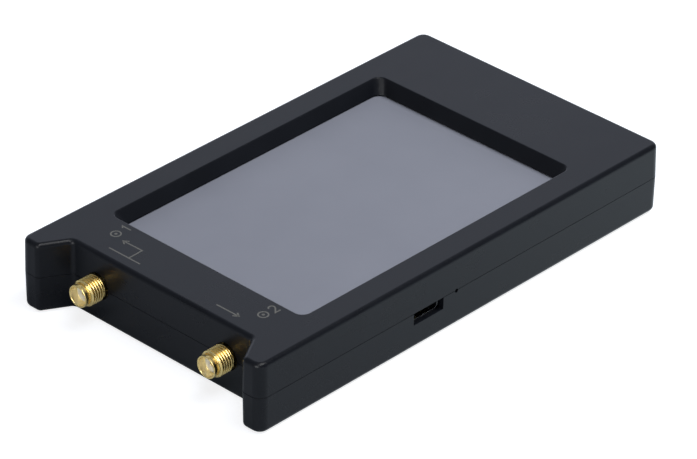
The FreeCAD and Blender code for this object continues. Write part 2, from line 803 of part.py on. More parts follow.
def jack_contact(name):
    """Centre contact: a slotted socket in front and a pin that lies on the board behind."""
    length = "(port_reach + wall + flange_thickness - bore_depth)"
    body = new_body(name)
    sketch = new_sketch(body, "Contact", "XZ_Plane")
    polygon(sketch, [("0", "contact_hole_radius"), ("0", "contact_radius"),
                     (length, "contact_radius"), (length, "pin_radius"),
                     (f"{length} + pin_length", "pin_radius"), (f"{length} + pin_length", "0"),
                     ("contact_hole_depth", "0"), ("contact_hole_depth", "contact_hole_radius")])
    revolve(body, "ContactTurned", sketch)
    for number, (wide, tall) in enumerate((("2 * contact_radius + 1", "contact_slot"),
                                           ("contact_slot", "2 * contact_radius + 1"))):
        slot = new_sketch(body, f"Slot{number}", "YZ_Plane")
        centred(slot, "0", "0", wide, tall)
        feature(body, "Pocket", f"SlotPocket{number}", slot, "contact_hole_depth / 2", back=True)
    return body


def make_jacks():
    nose = "bay_face - port_reach"
    for number, sign in ((1, ""), (2, "-")):
        y = f"{sign}port_spacing / 2"
        body = keep(f"sma_body_{number}", jack_body(f"sma{number}"))
        place(body, nose, y, "port_height")
        length = "port_reach + wall + flange_thickness - bore_depth"
        plug = cylinder(f"plug{number}", f"{nose} + bore_depth", y, "port_height",
                        "dielectric_radius", length, lie="X")
        bore = cylinder(f"plug_bore{number}", nose, y, "port_height",
                        "contact_radius + hinge_gap", f"{length} + bore_depth + 1", lie="X")
        keep(f"sma_dielectric_{number}", cut(f"dielectric{number}", plug, [bore]))
        contact = keep(f"sma_contact_{number}", jack_contact(f"contact{number}"))
        place(contact, f"{nose} + bore_depth", y, "port_height")


# Charging port


def make_usb():
    """Receptacle shell, a flat tube with board tabs, and the tongue inside it."""
    body = new_body("usb_shell")
    sketch = new_sketch(body, "Tube", "XZ_Plane")
    centred(sketch, "0", "0", "usb_width", "usb_height")
    feature(body, "Pad", "TubePad", sketch, "usb_depth", back=True)

    def long_edge(edge):
        box = edge.BoundBox
        return box.YLength > value("usb_depth") - 0.1 and box.XLength < 0.1 and box.ZLength < 0.1

    fillet(body, "TubeRound", long_edge, "usb_height / 2 - usb_sheet / 2")
    tabs = new_sketch(body, "Tabs", level="board_thickness - usb_sink")
    for sign in ("-1", "1"):
        centred(tabs, f"{sign} * (usb_width / 2 + usb_tab / 2 - usb_height / 4)", "usb_depth / 2",
                "usb_tab + usb_height / 2", "usb_depth / 3")
    feature(body, "Pad", "TabsPad", tabs, "usb_sheet")
    mouth = new_sketch(body, "Mouth", "XZ_Plane")
    inner_height = "(usb_height - 2 * usb_sheet)"
    flat = f"((usb_width - 2 * usb_sheet - {inner_height}) / 2)"
    centred(mouth, "0", "0", f"2 * {flat}", inner_height)
    feature(body, "Pocket", "MouthPocket", mouth, "usb_depth - usb_sheet")
    for number, sign in enumerate(("-", "")):
        end = new_sketch(body, f"MouthEnd{number}", "XZ_Plane")
        circle(end, f"{sign}{flat}", "0", f"{inner_height} / 2")
        feature(body, "Pocket", f"MouthEndPocket{number}", end, "usb_depth - usb_sheet")
    front = "-side_face + usb_setback"
    place(body, "-usb_offset", front, "board_under + usb_sink")
    keep("usb_shell", body)
    tongue = block("tongue_blade", "-usb_offset - tongue_width / 2",
                   f"{front} + tongue_setback", "board_under + usb_sink - tongue_thickness / 2",
                   "tongue_width", "usb_depth - usb_sheet - tongue_setback", "tongue_thickness")
    base_width = f"2 * {flat}"
    base = block("tongue_base", f"-usb_offset - {base_width} / 2", f"{front} + usb_depth * 2 / 3",
                 f"board_under + usb_sink - {inner_height} / 2", base_width,
                 "usb_depth / 3 - usb_sheet", inner_height)
    keep("usb_tongue", fuse("tongue", [blade_round(tongue), base]))


def blade_round(blade):
    """Round the blade's front corners."""
    doc.recompute()
    item = doc.addObject("Part::Fillet", "blade_rounded")
    item.Base = blade
    box = blade.Shape.BoundBox
    front = [number for number, edge in enumerate(blade.Shape.Edges, start=1)
             if abs(edge.BoundBox.YMax - box.YMin) < 0.001 and edge.BoundBox.ZLength > 0.1]
    radius = value("tongue_thickness / 2")
    item.Edges = [(number, radius, radius) for number in front]
    return item


# Battery


def make_battery():
    cell = block("cell_block", "battery_near", "-battery_width / 2", "battery_under",
                 "battery_length", "battery_width", "battery_thickness")
    doc.recompute()
    rounded = doc.addObject("Part::Fillet", "cell_rounded")
    rounded.Base = cell
    radius = value("min(battery_round; battery_thickness / 2 - 0.1)")
    rounded.Edges = [(number, radius, radius) for number, edge
                     in enumerate(cell.Shape.Edges, start=1) if edge.BoundBox.ZLength < 0.1]
    keep("battery_cell", rounded)
    keep("battery_board", block("protection", "battery_board_near",
                                "-battery_board_side", "battery_under", "battery_board_length",
                                "2 * battery_board_side", "battery_board_height"))
    keep("battery_tape", block("tape", "battery_board_near", "-battery_width / 4", "floor_thickness",
                               "battery_length + battery_board_length", "battery_width / 2",
                               "battery_tape_thickness"))
    case = block("socket_case", "socket_near", "socket_offset - socket_width / 2", "socket_under",
                 "socket_length", "socket_width", "socket_height")
    entries, leads = [], []
    for number, sign in enumerate(("-", "")):
        y = f"socket_offset {sign or '+'} lead_pitch / 2"
        run = "lead_length + socket_length / 2"
        leads.append(cylinder(f"lead{number}", "socket_near + socket_length / 2", y, "lead_height",
                              "lead_radius", run, lie="X"))
        entries.append(cylinder(f"entry{number}", "socket_near + socket_length / 2 - hinge_gap", y,
                                "lead_height", "lead_radius + hinge_gap", run, lie="X"))
    keep("battery_socket", cut("socket", case, entries))
    keep("battery_leads", group("leads", leads))


# Controls in the +Y side. Each is modelled about the middle of its front edge and then placed.


def make_power_switch():
    case = block("power_case", "power_offset - power_body_length / 2",
                 "board_edge - power_body_depth", "board_under - switch_height",
                 "power_body_length", "power_body_depth", "switch_height")
    half = "(power_stem_length / 2 + power_travel / 2 + bearing_gap)"
    depth = "(power_stem_reach + bearing_gap)"
    tall = "(power_stem_height + 2 * bearing_gap)"
    channel = block("power_channel", f"power_offset - {half}", f"board_edge - {depth}",
                    f"control_height - {tall} / 2", f"2 * {half}", f"{depth} + 1", tall)
    keep("power_switch_body", cut("power_housing", case, [channel]))
    body = new_body("power_slider")
    stem = new_sketch(body, "Stem", "XZ_Plane", "power_stem_reach")
    centred(stem, "0", "0", "power_stem_length", "power_stem_height")
    feature(body, "Pad", "StemPad", stem, "power_stem_reach + board_gap + lip_gap * 2", back=True)
    knob = new_sketch(body, "Knob", "XZ_Plane", "-board_gap - lip_gap")
    centred(knob, "0", "0", "power_knob_length", "knob_height")
    feature(body, "Pad", "KnobPad", knob, "power_knob_depth", back=True)
    front = value("board_gap + lip_gap + power_knob_depth")

    def front_edge(edge):
        return edge.BoundBox.YMin > front - 0.01

    fillet(body, "KnobRound", front_edge, "power_groove")
    grooves = new_sketch(body, "Grooves", "XZ_Plane", "-board_gap - lip_gap - power_knob_depth")
    for step in (-1, 0, 1):
        centred(grooves, f"{step} * power_knob_length / 4", "0", "power_groove", "knob_height + 1")
    feature(body, "Pocket", "GroovesPocket", grooves, "power_groove", back=True)
    place(body, "power_offset - power_travel / 2", "board_edge", "control_height")
    keep("power_switch_slider", body)


def make_jog_switch():
    case = block("jog_case", "jog_offset - jog_body_length / 2", "board_edge - jog_body_depth",
                 "board_under - switch_height", "jog_body_length", "jog_body_depth",
                 "switch_height")
    plates = "(knob_height - 2 * bearing_gap)"
    rear = "(hinge_setback + carrier_depth / 2 + jog_press_travel)"
    channel = block("jog_channel", "jog_offset - carrier_length / 2 - bearing_gap",
                    f"board_edge - {rear} - bearing_gap", "control_height - knob_height / 2",
                    "carrier_length + 2 * bearing_gap", f"{rear} + bearing_gap + 1", "knob_height")
    keep("jog_switch_body", cut("jog_housing", case, [channel]))
    carrier_rear = "hinge_y - carrier_depth / 2"
    outer = block("carrier_block", "jog_offset - carrier_length / 2", carrier_rear,
                  f"control_height - {plates} / 2", "carrier_length", "carrier_depth", plates)
    fork = f"({plates} - 2 * carrier_plate)"
    mouth = block("carrier_mouth", "jog_offset - carrier_length", f"{carrier_rear} + carrier_web",
                  f"control_height - {fork} / 2", "2 * carrier_length", "carrier_depth", fork)
    pin = cylinder("carrier_pin", "jog_offset", "hinge_y", f"control_height - {plates} / 2",
                   "hinge_radius", plates)
    keep("jog_carrier", fuse("carrier", [cut("carrier_fork", outer, [mouth]), pin]))
    blade = f"({fork} - 2 * hinge_gap)"
    body = new_body("jog_lever")
    hub = circle(new_sketch(body, "Hub", level=f"-{blade} / 2"), "0", "0", "lever_hub_radius")
    feature(body, "Pad", "HubPad", hub, blade)
    start = "(hinge_setback + lever_paddle_start)"
    stem = new_sketch(body, "Stem", level=f"-{blade} / 2")
    rectangle(stem, "-lever_stem_width / 2", "0", "lever_stem_width / 2", f"{start} + 0.5")
    feature(body, "Pad", "StemPad", stem, blade)
    tip = "(side_face - hinge_y + lever_protrusion)"
    paddle = new_sketch(body, "Paddle", level="-knob_height / 2")
    rectangle(paddle, "-lever_paddle_width / 2", start, "lever_paddle_width / 2", tip)
    feature(body, "Pad", "PaddlePad", paddle, "knob_height")
    end = value(tip)

    def tip_edge(edge):
        return edge.BoundBox.YMin > end - 0.01

    fillet(body, "PaddleRound", tip_edge, "knob_height / 4")
    eye = circle(new_sketch(body, "Eye", level=f"-{blade} / 2"), "0", "0", "hinge_radius + hinge_gap")
    feature(body, "Pocket", "EyePocket", eye, blade, back=True)
    place(body, "jog_offset", "hinge_y", "control_height")
    keep("jog_lever", body)


def check_model():
    """Stop if any object failed or any sub-part has no valid solid."""
    for item in doc.Objects:
        if any(word in item.State for word in ("Invalid", "Error")):
            raise RuntimeError(f"{item.Label} failed: {item.State}")
    for label, item in nodes.items():
        shape = item.Shape
        if shape.isNull() or not shape.isValid() or not shape.Solids:
            raise RuntimeError(f"{label} has no valid solid")


def export():
    os.makedirs("parts", exist_ok=True)
    for label, item in nodes.items():
        item.Shape.exportStep(f"parts/{label}.step")
        box = item.Shape.BoundBox
        print(f"{label}: {len(item.Shape.Solids)} solid(s), {item.Shape.Volume:.1f} mm3, "
              f"X {box.XMin:.2f} {box.XMax:.2f} Y {box.YMin:.2f} {box.YMax:.2f} "
              f"Z {box.ZMin:.2f} {box.ZMax:.2f}")


make_front_shell()
make_back_shell()
make_screws()
make_display()
make_board()
make_jacks()
make_usb()
make_battery()
make_power_switch()
make_jog_switch()
doc.recompute()
check_model()
export()
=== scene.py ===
"""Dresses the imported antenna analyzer: a finish for every solid, turned and printed detail, and a studio.

Lengths inside the classes are millimetres in the part's own frame: +Z up through the screen, +X away
from the signal jacks, -Y the long side with the charging port. Blender gets them in metres. Only the
studio's lamps and camera are placed in metres.
"""

from __future__ import annotations

import json
import logging
import math
from dataclasses import dataclass, field
from enum import Enum
from typing import Any, Callable, ClassVar, Sequence

import bmesh
import bpy
from mathutils import Matrix, Vector

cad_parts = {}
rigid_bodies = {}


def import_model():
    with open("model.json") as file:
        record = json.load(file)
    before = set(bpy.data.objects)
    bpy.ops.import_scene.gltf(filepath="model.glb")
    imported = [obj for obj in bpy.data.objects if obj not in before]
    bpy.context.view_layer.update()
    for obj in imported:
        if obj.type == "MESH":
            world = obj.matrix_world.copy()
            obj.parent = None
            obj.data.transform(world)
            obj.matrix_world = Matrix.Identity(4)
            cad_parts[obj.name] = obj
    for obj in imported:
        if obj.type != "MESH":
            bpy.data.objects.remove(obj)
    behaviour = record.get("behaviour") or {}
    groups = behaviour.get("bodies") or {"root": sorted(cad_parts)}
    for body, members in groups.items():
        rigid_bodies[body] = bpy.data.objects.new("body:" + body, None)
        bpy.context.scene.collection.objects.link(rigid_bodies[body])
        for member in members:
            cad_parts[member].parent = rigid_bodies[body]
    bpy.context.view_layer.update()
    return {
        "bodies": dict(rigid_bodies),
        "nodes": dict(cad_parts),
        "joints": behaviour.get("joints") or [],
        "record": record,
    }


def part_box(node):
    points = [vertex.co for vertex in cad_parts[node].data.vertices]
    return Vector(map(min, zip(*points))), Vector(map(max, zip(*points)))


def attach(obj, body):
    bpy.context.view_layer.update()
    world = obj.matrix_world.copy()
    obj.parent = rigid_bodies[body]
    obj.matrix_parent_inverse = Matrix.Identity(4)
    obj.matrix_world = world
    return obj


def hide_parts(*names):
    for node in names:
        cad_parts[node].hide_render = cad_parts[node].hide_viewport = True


MM = 0.001
LOG = logging.getLogger("analyzer")

Point = tuple[float, float, float]
Flat = tuple[float, float]
Radius = float | Callable[[float, float], float]

# Sockets of a Mix node: the two colours and what they make, and the same for plain numbers.
MIX_FIRST, MIX_SECOND, MIXED = 6, 7, 2
LEVEL_FIRST, LEVEL_SECOND, LEVEL = 2, 3, 0
# Rays that a Bevel node sends out at each point.
BEVEL_RAYS = 4


def linear(code: str) -> tuple[float, float, float, float]:
    """Turn an sRGB colour into linear light.

    Args:
        code: the colour as "#rrggbb".

    Returns:
        Red, green, blue and an alpha of 1.
    """
    shares = (int(code[at:at + 2], 16) / 255 for at in (1, 3, 5))
    return (*(s / 12.92 if s <= 0.04045 else ((s + 0.055) / 1.055) ** 2.4 for s in shares), 1.0)


def add_node(tree: bpy.types.NodeTree, kind: str, settings: dict[Any, Any] | None = None,
             links: dict[Any, Any] | None = None) -> bpy.types.Node:
    """Add a shader node with its settings and links.

    Args:
        tree: the node tree to add to.
        kind: the node's type, without the "ShaderNode" in front.
        settings: values by property name, socket name or socket number; properties come first.
        links: sockets that feed this node's inputs, by socket name or number.

    Returns:
        The new node.
    """
    node = tree.nodes.new("ShaderNode" + kind)
    for key, value in (settings or {}).items():
        if isinstance(key, str) and hasattr(node, key):
            setattr(node, key, value)
        else:
            node.inputs[key].default_value = value
    for key, socket in (links or {}).items():
        tree.links.new(socket, node.inputs[key])
    return node


# ---------------------------------------------------------------- finishes


class Lay(Enum):
    """Which way the marks of making run on a surface, as stretch factors of their pattern."""

    EVEN = (1.0, 1.0, 1.0)
    ALONG_X = (0.04, 1.0, 1.0)
    ALONG_Y = (1.0, 0.04, 1.0)
    AROUND_X = (1.0, 0.02, 0.02)
    AROUND_Z = (0.02, 0.02, 1.0)


@dataclass(frozen=True)
class Finish:
    """What a surface is made of and how it was made. A subclass lays out its nodes.

    Fading is how strong each finer layer of a pattern is beside the one before.
    """

    name: str
    fading: ClassVar[float] = 0.55

    def material(self) -> bpy.types.Material:
        """Build this finish's material the first time, and hand out the same one after that.

        Returns:
            The material.
        """
        known = bpy.data.materials.get(self.name)
        if known:
            return known
        made = bpy.data.materials.new(self.name)
        made.use_nodes = True
        tree = made.node_tree
        tree.nodes.clear()
        shader = self.dress(tree)
        add_node(tree, "OutputMaterial", links={"Surface": shader.outputs[0]})
        return made

    def dress(self, tree: bpy.types.NodeTree) -> bpy.types.Node:
        """Lay out the finish's nodes.

        Args:
            tree: the material's node tree.

        Returns:
            The shader that they feed.
        """
        raise NotImplementedError

    def patches(self, tree: bpy.types.NodeTree, size: float, spread: Flat = (0.0, 1.0),
                edge: Flat = (0.3, 0.7), lay: Lay = Lay.EVEN, detail: float = 3.0) -> bpy.types.NodeSocket:
        """Lay random patches of a real size over the piece.

        Args:
            tree: the material's node tree.
            size: width of the patches in millimetres.
            spread: the values between and in the patches.
            edge: how soft a patch ends, from (0.3, 0.7), soft, to two numbers that nearly meet, hard.
            lay: the way that the patches are drawn out.
            detail: how many finer layers lie in them.

        Returns:
            A socket with the values.
        """
        place = add_node(tree, "TexCoord")
        stretch = tuple(share / MM / size for share in lay.value)
        scaled = add_node(tree, "VectorMath", {"operation": "MULTIPLY", 1: stretch},
                          {0: place.outputs["Object"]})
        noise = add_node(tree, "TexNoise", {"Scale": 1.0, "Detail": detail, "Roughness": self.fading},
                         {"Vector": scaled.outputs[0]})
        levels = {"From Min": edge[0], "From Max": edge[1], "To Min": spread[0], "To Max": spread[1]}
        return add_node(tree, "MapRange", levels, {"Value": noise.outputs[0]}).outputs[0]


@dataclass(frozen=True)
class MouldedPlastic(Finish):
    """Thermoplastic from a spark-eroded mould: a fine dull grain, with edges that handling has polished.

    In millimetres, grain and depth are the texture's width and relief, soften is the radius of the edges,
    and cloud and flow are the widths of slow shifts of tint and roughness. Unevenness is how far the
    roughness strays, and polish is what handling takes off it at an edge.
    """

    tint: str
    rubbed: str
    roughness: float
    grain: float
    depth: float
    soften: float
    specular: float = 0.2
    refraction: float = 1.54
    polish: float = 0.12
    unevenness: float = 0.04
    cloud: float = 9.0
    cloud_layers: float = 4.0
    cloud_share: float = 0.35
    flow: float = 26.0
    edge_turn: Flat = (0.8, 0.98)
    edge_share: float = 0.5

    def dress(self, tree: bpy.types.NodeTree) -> bpy.types.Node:
        """Lay out grain, slow shifts of tint and gloss, and rubbed, slightly softened edges.

        Args:
            tree: the material's node tree.

        Returns:
            The shader.
        """
        softened = add_node(tree, "Bevel", {"samples": BEVEL_RAYS, "Radius": self.soften * MM})
        geometry = add_node(tree, "NewGeometry")
        level = add_node(tree, "VectorMath", {"operation": "DOT_PRODUCT"},
                         {0: softened.outputs[0], 1: geometry.outputs["Normal"]})
        sharp, flat = self.edge_turn
        edge = add_node(tree, "MapRange", {"From Min": sharp, "From Max": flat, "To Min": self.edge_share,
                                           "To Max": 0.0}, {"Value": level.outputs["Value"]}).outputs[0]
        cloud = self.patches(tree, self.cloud, (0.0, self.cloud_share), detail=self.cloud_layers)
        body = add_node(tree, "Mix", {"data_type": "RGBA", MIX_FIRST: linear(self.tint),
                                      MIX_SECOND: linear(self.rubbed)}, {"Factor": cloud})
        tint = add_node(tree, "Mix", {"data_type": "RGBA", MIX_SECOND: linear(self.rubbed)},
                        {"Factor": edge, MIX_FIRST: body.outputs[MIXED]})
        low, high = self.roughness - self.unevenness, self.roughness + self.unevenness
        dull = self.patches(tree, self.cloud, (low, high), detail=self.cloud_layers)
        flow = self.patches(tree, self.flow, (-self.unevenness, self.unevenness), lay=Lay.ALONG_X)
        rough = add_node(tree, "Math", {"operation": "ADD"}, {0: dull, 1: flow})
        polished = add_node(tree, "Math", {"operation": "MULTIPLY_ADD", 1: -self.polish},
                            {0: edge, 2: rough.outputs[0]})
        relief = add_node(tree, "Bump", {"Distance": self.depth * MM},
                          {"Height": self.patches(tree, self.grain), "Normal": softened.outputs[0]})
        return add_node(tree, "BsdfPrincipled",
                        {"IOR": self.refraction, "Specular IOR Level": self.specular},
                        {"Base Color": tint.outputs[MIXED], "Roughness": polished.outputs[0],
                         "Normal": relief.outputs[0]})


@dataclass(frozen=True)
class Metal(Finish):
    """Bare or plated metal with broken edges and the fine marks that turning, rolling or drawing left.

    In millimetres, marks and depth are the marks' width and relief, broken is the radius of the edges, and
    tarnish is the width of the patches in which tint and roughness shift.
    """

    tint: str
    shade: str
    roughness: float
    lay: Lay
    marks: float
    depth: float
    broken: float = 0.08
    tarnish: float = 1.6
    tarnish_share: float = 0.6
    roughness_shift: Flat = (0.8, 1.25)
    mark_layers: float = 2.0

    def dress(self, tree: bpy.types.NodeTree) -> bpy.types.Node:
        """Lay out marks of making as relief on broken edges, with a little tarnish in the tint and the gloss.

        Args:
            tree: the material's node tree.

        Returns:
            The shader.
        """
        tint = add_node(tree, "Mix", {"data_type": "RGBA", MIX_FIRST: linear(self.tint),
                                      MIX_SECOND: linear(self.shade)},
                        {"Factor": self.patches(tree, self.tarnish, (0.0, self.tarnish_share))})
        bright, dull = self.roughness_shift
        rough = self.patches(tree, self.tarnish, (self.roughness * bright, self.roughness * dull))
        rounded = add_node(tree, "Bevel", {"samples": BEVEL_RAYS, "Radius": self.broken * MM})
        relief = add_node(tree, "Bump", {"Distance": self.depth * MM},
                          {"Height": self.patches(tree, self.marks, lay=self.lay, detail=self.mark_layers),
                           "Normal": rounded.outputs[0]})
        return add_node(tree, "BsdfPrincipled", {"Metallic": 1.0},
                        {"Base Color": tint.outputs[MIXED], "Roughness": rough, "Normal": relief.outputs[0]})


@dataclass(frozen=True)
class Speckled(Finish):
    """A body of two tints in soft or hard patches of one real size, dull or glossy.

    In millimetres, patch is the patches' width and depth their relief. Edge is how softly they end.
    """

    tint: str
    spots: str
    patch: float
    edge: Flat
    roughness: Flat
    depth: float
    lay: Lay = Lay.EVEN
    refraction: float = 1.5

    def dress(self, tree: bpy.types.NodeTree) -> bpy.types.Node:
        """Lay out patches that carry tint, gloss and relief together.

        Args:
            tree: the material's node tree.

        Returns:
            The shader.
        """
        share = self.patches(tree, self.patch, edge=self.edge, lay=self.lay)
        rough = self.patches(tree, self.patch, self.roughness, self.edge, self.lay)
        tint = add_node(tree, "Mix", {"data_type": "RGBA", MIX_FIRST: linear(self.tint),
                                      MIX_SECOND: linear(self.spots)}, {"Factor": share})
        relief = add_node(tree, "Bump", {"Distance": self.depth * MM},
                          {"Height": self.patches(tree, self.patch, lay=self.lay)})
        return add_node(tree, "BsdfPrincipled", {"IOR": self.refraction},
                        {"Base Color": tint.outputs[MIXED], "Roughness": rough, "Normal": relief.outputs[0]})


@dataclass(frozen=True)
class SolderMask(Finish):
    """Epoxy board under a lacquer of solder mask: glossy, with tracks that show as raised lines.

    In millimetres, pitch is the scale of the tracks' grid, depth their relief and lacquer the width of the
    patches in the lacquer's roughness. Line and run are shares of the pitch.
    """

    mask: str
    track: str
    pitch: float
    depth: float
    roughness: Flat
    line: float = 0.09
    run: Flat = (2.6, 0.5)
    lacquer: float = 6.0

    def dress(self, tree: bpy.types.NodeTree) -> bpy.types.Node:
        """Lay out tracks on a grid under a glossy lacquer.

        Args:
            tree: the material's node tree.

        Returns:
            The shader.
        """
        place = add_node(tree, "TexCoord")
        scaled = add_node(tree, "VectorMath", {"operation": "SCALE", "Scale": 1.0 / MM / self.pitch},
                          {0: place.outputs["Object"]})
        length, height = self.run
        grid = add_node(tree, "TexBrick", {"Scale": 1.0, "Mortar Size": self.line, "Brick Width": length,
                                           "Row Height": height, "Color1": linear(self.mask),
                                           "Color2": linear(self.mask), "Mortar": linear(self.track)},
                        {"Vector": scaled.outputs[0]})
        relief = add_node(tree, "Bump", {"Distance": self.depth * MM}, {"Height": grid.outputs["Fac"]})
        rough = self.patches(tree, self.lacquer, self.roughness)
        return add_node(tree, "BsdfPrincipled", None,
                        {"Base Color": grid.outputs["Color"], "Roughness": rough,
                         "Normal": relief.outputs[0]})


# ABS, injection moulded with a fine spark-eroded texture: near black, a soft satin glow and slim
# highlights along the rounded edges. The real grain is about 0.05 mm, too fine to show, so it is coarser.
CASE_ABS = MouldedPlastic("Moulded_black_ABS", "#0f1116", "#16191f", roughness=0.3, grain=0.22,
                          depth=0.0024, soften=0.05)
# Acetal, moulded smooth: a touch glossier and greyer than the case, slippery to the finger.
KNOB_ACETAL = MouldedPlastic("Moulded_black_acetal", "#17181a", "#2e3034", roughness=0.34, grain=0.16,
                             depth=0.0016, soften=0.1)
# Liquid crystal polymer of small connectors, moulded: flat black with flow marks.
CONNECTOR_LCP = MouldedPlastic("Moulded_black_LCP", "#101113", "#24262a", roughness=0.5, grain=0.12,
                               depth=0.0012, soften=0.05)
# The same polymer in its natural cream, for the battery's socket and the jog carrier.
SOCKET_LCP = MouldedPlastic("Moulded_cream_LCP", "#cfc8b4", "#e2dcc9", roughness=0.45, grain=0.12,
                            depth=0.0012, soften=0.05)
# Epoxy moulding compound of chip packages: charcoal, quite matt, with a gritty fill.
CHIP_EPOXY = MouldedPlastic("Moulded_chip_epoxy", "#17181a", "#2a2c2e", roughness=0.6, grain=0.05,
                            depth=0.0008, soften=0.04)
# Flash gold over nickel on turned brass: warm, bright and sharp in its highlights.
GOLD_PLATE = Metal("Gold_plate_turned", "#fde29b", "#f0d382", roughness=0.25, lay=Lay.AROUND_X, marks=0.12,
                   depth=0.0001)
# The same plating inside a reamed bore, with a softer gloss. Its paler tint is painted light, brightening the
# bore against the orange that light bouncing inside it gives.
GOLD_BORE_PAINTED_PALE = Metal("Gold_plate_bore_painted_pale", "#fdefc4", "#f6e6b0", roughness=0.3, lay=Lay.AROUND_X, marks=0.12,
                  depth=0.0001)
# Brass, knurled and bare: yellower and duller than the plated jacks.
INSERT_BRASS = Metal("Bare_brass", "#cda957", "#a8843d", roughness=0.32, lay=Lay.AROUND_Z, marks=0.2,
                     depth=0.008)
# Stainless steel, cold headed, for the case's screws: grey and softly polished.
SCREW_STEEL = Metal("Stainless_steel_headed", "#b4b4b2", "#8f9092", roughness=0.26, lay=Lay.AROUND_Z,
                    marks=0.08, depth=0.0008)
# Stainless steel, drawn to a tube, for the charging port: bright with long faint draw lines.
PORT_STEEL = Metal("Stainless_steel_drawn", "#c3c4c5", "#9fa1a3", roughness=0.2, lay=Lay.ALONG_Y,
                   marks=0.06, depth=0.0004)
# Stainless steel sheet, rolled, for the backlight's tray: silver grey with faint lines along the roll.
TRAY_STEEL = Metal("Stainless_steel_sheet", "#b9babb", "#a0a1a3", roughness=0.3, lay=Lay.ALONG_X,
                   marks=0.08, depth=0.0004)
# Tin plate, rolled and folded, for the shield: whiter and softer than steel.
SHIELD_TIN = Metal("Tin_plate_sheet", "#cfcfcb", "#b3b4b2", roughness=0.38, lay=Lay.ALONG_Y, marks=0.1,
                   depth=0.0008)
# Touch film with an anti-glare coat, laminated flat: a milky violet grey while the display is off,
# with a soft blurred gloss in place of sharp reflections.
TOUCH_FILM = Speckled("Anti_glare_touch_film", "#797c87", "#7d808b", patch=24.0, edge=(0.35, 0.65),
                      roughness=(0.4, 0.46), depth=0.0008, refraction=1.3)
# Polariser film on the display cell under it: the same grey, smoother.
POLARISER = Speckled("Polariser_film", "#70717b", "#757680", patch=30.0, edge=(0.35, 0.65),
                     roughness=(0.2, 0.26), depth=0.0002)
# Acrylic light guide, cast: milky and glossy, with the dots that scatter its light.
LIGHT_GUIDE = Speckled("Cast_acrylic_guide", "#dfe4e6", "#f2f5f6", patch=0.3, edge=(0.45, 0.55),
                       roughness=(0.12, 0.3), depth=0.0008)
# Closed-cell polyurethane foam: black, open pores at its cut faces.
FOAM = Speckled("Cut_black_foam", "#161617", "#2c2c2e", patch=0.25, edge=(0.4, 0.6), roughness=(0.85, 0.95),
                depth=0.02)
# PTFE, turned: milk white and waxy.
PTFE = Speckled("Turned_PTFE", "#f6f0e0", "#fbf7ec", patch=0.4, edge=(0.35, 0.65), roughness=(0.3, 0.42),
                depth=0.0008, refraction=1.36)
# Polyimide film: amber, smooth and glossy, with slight waves from its roll.
POLYIMIDE = Speckled("Polyimide_tape", "#9c5f17", "#b87720", patch=2.5, edge=(0.35, 0.65),
                     roughness=(0.14, 0.22), depth=0.004)
# The same film over copper, for the display's ribbon: darker, copper showing through.
RIBBON = Speckled("Polyimide_ribbon", "#7a4a1c", "#a2682c", patch=0.35, edge=(0.46, 0.54),
                  roughness=(0.2, 0.28), depth=0.0016, lay=Lay.ALONG_X)
# Aluminium laminate of a pouch cell: silver grey with shallow creases.
POUCH = Speckled("Pouch_laminate", "#a9abad", "#bcbec0", patch=3.5, edge=(0.35, 0.65), roughness=(0.3, 0.4),
                 depth=0.012)
# Silicone rubber of the battery's leads: soft red and matt.
LEAD_RUBBER = Speckled("Silicone_rubber", "#7d1512", "#93201b", patch=0.8, edge=(0.35, 0.65),
                       roughness=(0.55, 0.65), depth=0.0016)
# Sintered ceramic of chip capacitors: tan and stony.
CERAMIC = Speckled("Sintered_ceramic", "#a78c66", "#bda27c", patch=0.15, edge=(0.4, 0.6),
                   roughness=(0.4, 0.5), depth=0.0012)
# Cast epoxy of a light-emitting diode: white, glossy, a little cloudy.
LED_EPOXY = Speckled("Cast_LED_epoxy", "#e9ebe2", "#f6f7f0", patch=0.3, edge=(0.4, 0.6),
                     roughness=(0.12, 0.2), depth=0.0004)
# Pad-printed ink: a thin warm grey film, patchy where the grain of the plastic shows through.
PRINT_INK = Speckled("Pad_print_ink", "#64645f", "#4c4c4b", patch=0.16, edge=(0.4, 0.62),
                     roughness=(0.55, 0.7), depth=0.0008)
# Glass epoxy board, etched and lacquered: black and glossy, tracks standing up as fine paler lines.
BOARD_MASK = SolderMask("Solder_mask_on_epoxy", "#0c1013", "#1d242a", pitch=1.2, depth=0.03,
                        roughness=(0.2, 0.32))


